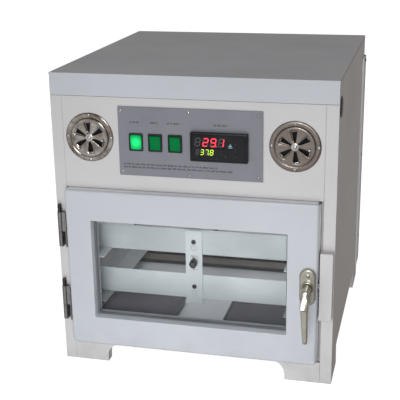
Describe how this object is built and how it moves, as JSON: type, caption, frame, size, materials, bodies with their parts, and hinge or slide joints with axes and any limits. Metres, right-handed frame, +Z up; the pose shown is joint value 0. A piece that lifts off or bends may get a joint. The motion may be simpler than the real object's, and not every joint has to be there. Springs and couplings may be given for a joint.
{
  "type": "laboratory incubator",
  "caption": "Cabinet incubator with a glazed side-hung door, lever handle, digital control panel, two air vents and a tilting two-tier rack over water pans.",
  "frame": {"origin": "on the floor under the centre of the overall box", "axes": "+Z up, front faces -Y, +X to the right seen from the front"},
  "size_m": [0.487, 0.564, 0.5223],
  "materials": {
    "enamel": "semi-gloss grey enamel on sheet steel",
    "liner": "plain grey lining sheet",
    "zinc_sheet": "zinc-plated sheet",
    "bright_metal": "mirror bright",
    "dull_steel": "dull stainless",
    "handle_alloy": "champagne satin",
    "black_plastic": "black moulded plastic",
    "plate_paint": "dark grey panel paint",
    "green_rocker": "translucent green plastic",
    "display_window": "smoked window film",
    "door_glass": "clear float glass",
    "seal_rubber": "matt black rubber",
    "pan_plastic": "dark grey plastic"
  },
  "bodies": {
    "cabinet": {"left_side_panel": "enamel", "right_side_panel": "enamel", "front_base_board": "enamel", "top_cover": "enamel", "back_panel": "enamel", "upper_front_panel": "enamel", "striker_block": "enamel", "floor_panel": "liner", "chamber_front_frame": "liner", "rear_baffle": "liner", "control_box": "zinc_sheet", "rack_hanger": "zinc_sheet", "vent_plate_left": "bright_metal", "vent_plate_right": "dull_steel", "hinge_upper_cabinet_half": "dull_steel", "hinge_lower_cabinet_half": "dull_steel", "turning_motor": "dull_steel", "fan_motor": "dull_steel", "heater_element": "dull_steel", "temperature_probe": "dull_steel", "left_side_plug": "black_plastic", "right_side_plug": "black_plastic", "controller_case": "black_plastic", "switch_bezel_left": "black_plastic", "switch_bezel_middle": "black_plastic", "switch_bezel_right": "black_plastic", "power_inlet": "black_plastic", "control_plate": "plate_paint", "controller_window": "display_window", "water_pan_left": "pan_plastic", "water_pan_right": "pan_plastic", "chamber_lamp": "pan_plastic"},
    "door": {"door_frame": "enamel", "door_glass_outer": "door_glass", "door_glass_inner": "door_glass", "door_seal": "seal_rubber", "handle_rosette": "handle_alloy", "hinge_upper_door_half": "dull_steel", "hinge_lower_door_half": "dull_steel"},
    "handle": {"handle_lever": "handle_alloy", "latch_tongue": "bright_metal"},
    "damper_left": {"vent_damper_left": "bright_metal"},
    "damper_right": {"vent_damper_right": "dull_steel"},
    "rocker_left": {"switch_rocker_left": "green_rocker"},
    "rocker_middle": {"switch_rocker_middle": "green_rocker"},
    "rocker_right": {"switch_rocker_right": "green_rocker"},
    "key_1": {"controller_key_1": "black_plastic"},
    "key_2": {"controller_key_2": "black_plastic"},
    "key_3": {"controller_key_3": "black_plastic"},
    "key_4": {"controller_key_4": "black_plastic"},
    "rack": {"rack_front_plate": "zinc_sheet", "rack_upper_front_bar": "zinc_sheet", "rack_lower_front_bar": "zinc_sheet", "rack_rear_frame": "zinc_sheet", "rack_rail_upper_left": "zinc_sheet", "rack_rail_upper_right": "zinc_sheet", "rack_rail_lower_left": "zinc_sheet", "rack_rail_lower_right": "zinc_sheet", "rack_axle": "zinc_sheet"},
    "fan": {"fan_rotor": "black_plastic"}
  },
  "joints": [
    {"name": "door_hinge", "type": "hinge", "parent": "cabinet", "child": "door", "pos_m": [-0.2325, -0.227, 0.15], "axis": [0, 0, -1], "range_deg": [0, 110]},
    {"name": "handle_turn", "type": "hinge", "parent": "door", "child": "handle", "pos_m": [0.1985, -0.2295, 0.183], "axis": [0, 1, 0], "range_deg": [0, 90]},
    {"name": "damper_left_turn", "type": "hinge", "parent": "cabinet", "child": "damper_left", "pos_m": [-0.173, -0.2223, 0.415], "axis": [0, 1, 0], "range_deg": [-24, 6]},
    {"name": "damper_right_turn", "type": "hinge", "parent": "cabinet", "child": "damper_right", "pos_m": [0.172, -0.2223, 0.415], "axis": [0, 1, 0], "range_deg": [-24, 6]},
    {"name": "switch_left_rock", "type": "hinge", "parent": "cabinet", "child": "rocker_left", "pos_m": [-0.0913, -0.219, 0.411], "axis": [1, 0, 0], "range_deg": [-12, 0]},
    {"name": "switch_middle_rock", "type": "hinge", "parent": "cabinet", "child": "rocker_middle", "pos_m": [-0.0585, -0.219, 0.411], "axis": [1, 0, 0], "range_deg": [-12, 0]},
    {"name": "switch_right_rock", "type": "hinge", "parent": "cabinet", "child": "rocker_right", "pos_m": [-0.0247, -0.219, 0.411], "axis": [1, 0, 0], "range_deg": [-12, 0]},
    {"name": "key_1_press", "type": "slide", "parent": "cabinet", "child": "key_1", "axis": [0, 1, 0], "range_m": [0, 0.0007], "stiffness_N_per_m": 200},
    {"name": "key_2_press", "type": "slide", "parent": "cabinet", "child": "key_2", "axis": [0, 1, 0], "range_m": [0, 0.0007], "stiffness_N_per_m": 200},
    {"name": "key_3_press", "type": "slide", "parent": "cabinet", "child": "key_3", "axis": [0, 1, 0], "range_m": [0, 0.0007], "stiffness_N_per_m": 200},
    {"name": "key_4_press", "type": "slide", "parent": "cabinet", "child": "key_4", "axis": [0, 1, 0], "range_m": [0, 0.0007], "stiffness_N_per_m": 200},
    {"name": "rack_tilt", "type": "hinge", "parent": "cabinet", "child": "rack", "pos_m": [-0.0147, 0.117, 0.176], "axis": [0, 1, 0], "range_deg": [-7, 7]},
    {"name": "fan_spin", "type": "hinge", "parent": "cabinet", "child": "fan", "pos_m": [0, 0.146, 0.33], "axis": [0, 1, 0], "continuous": true}
  ]
}
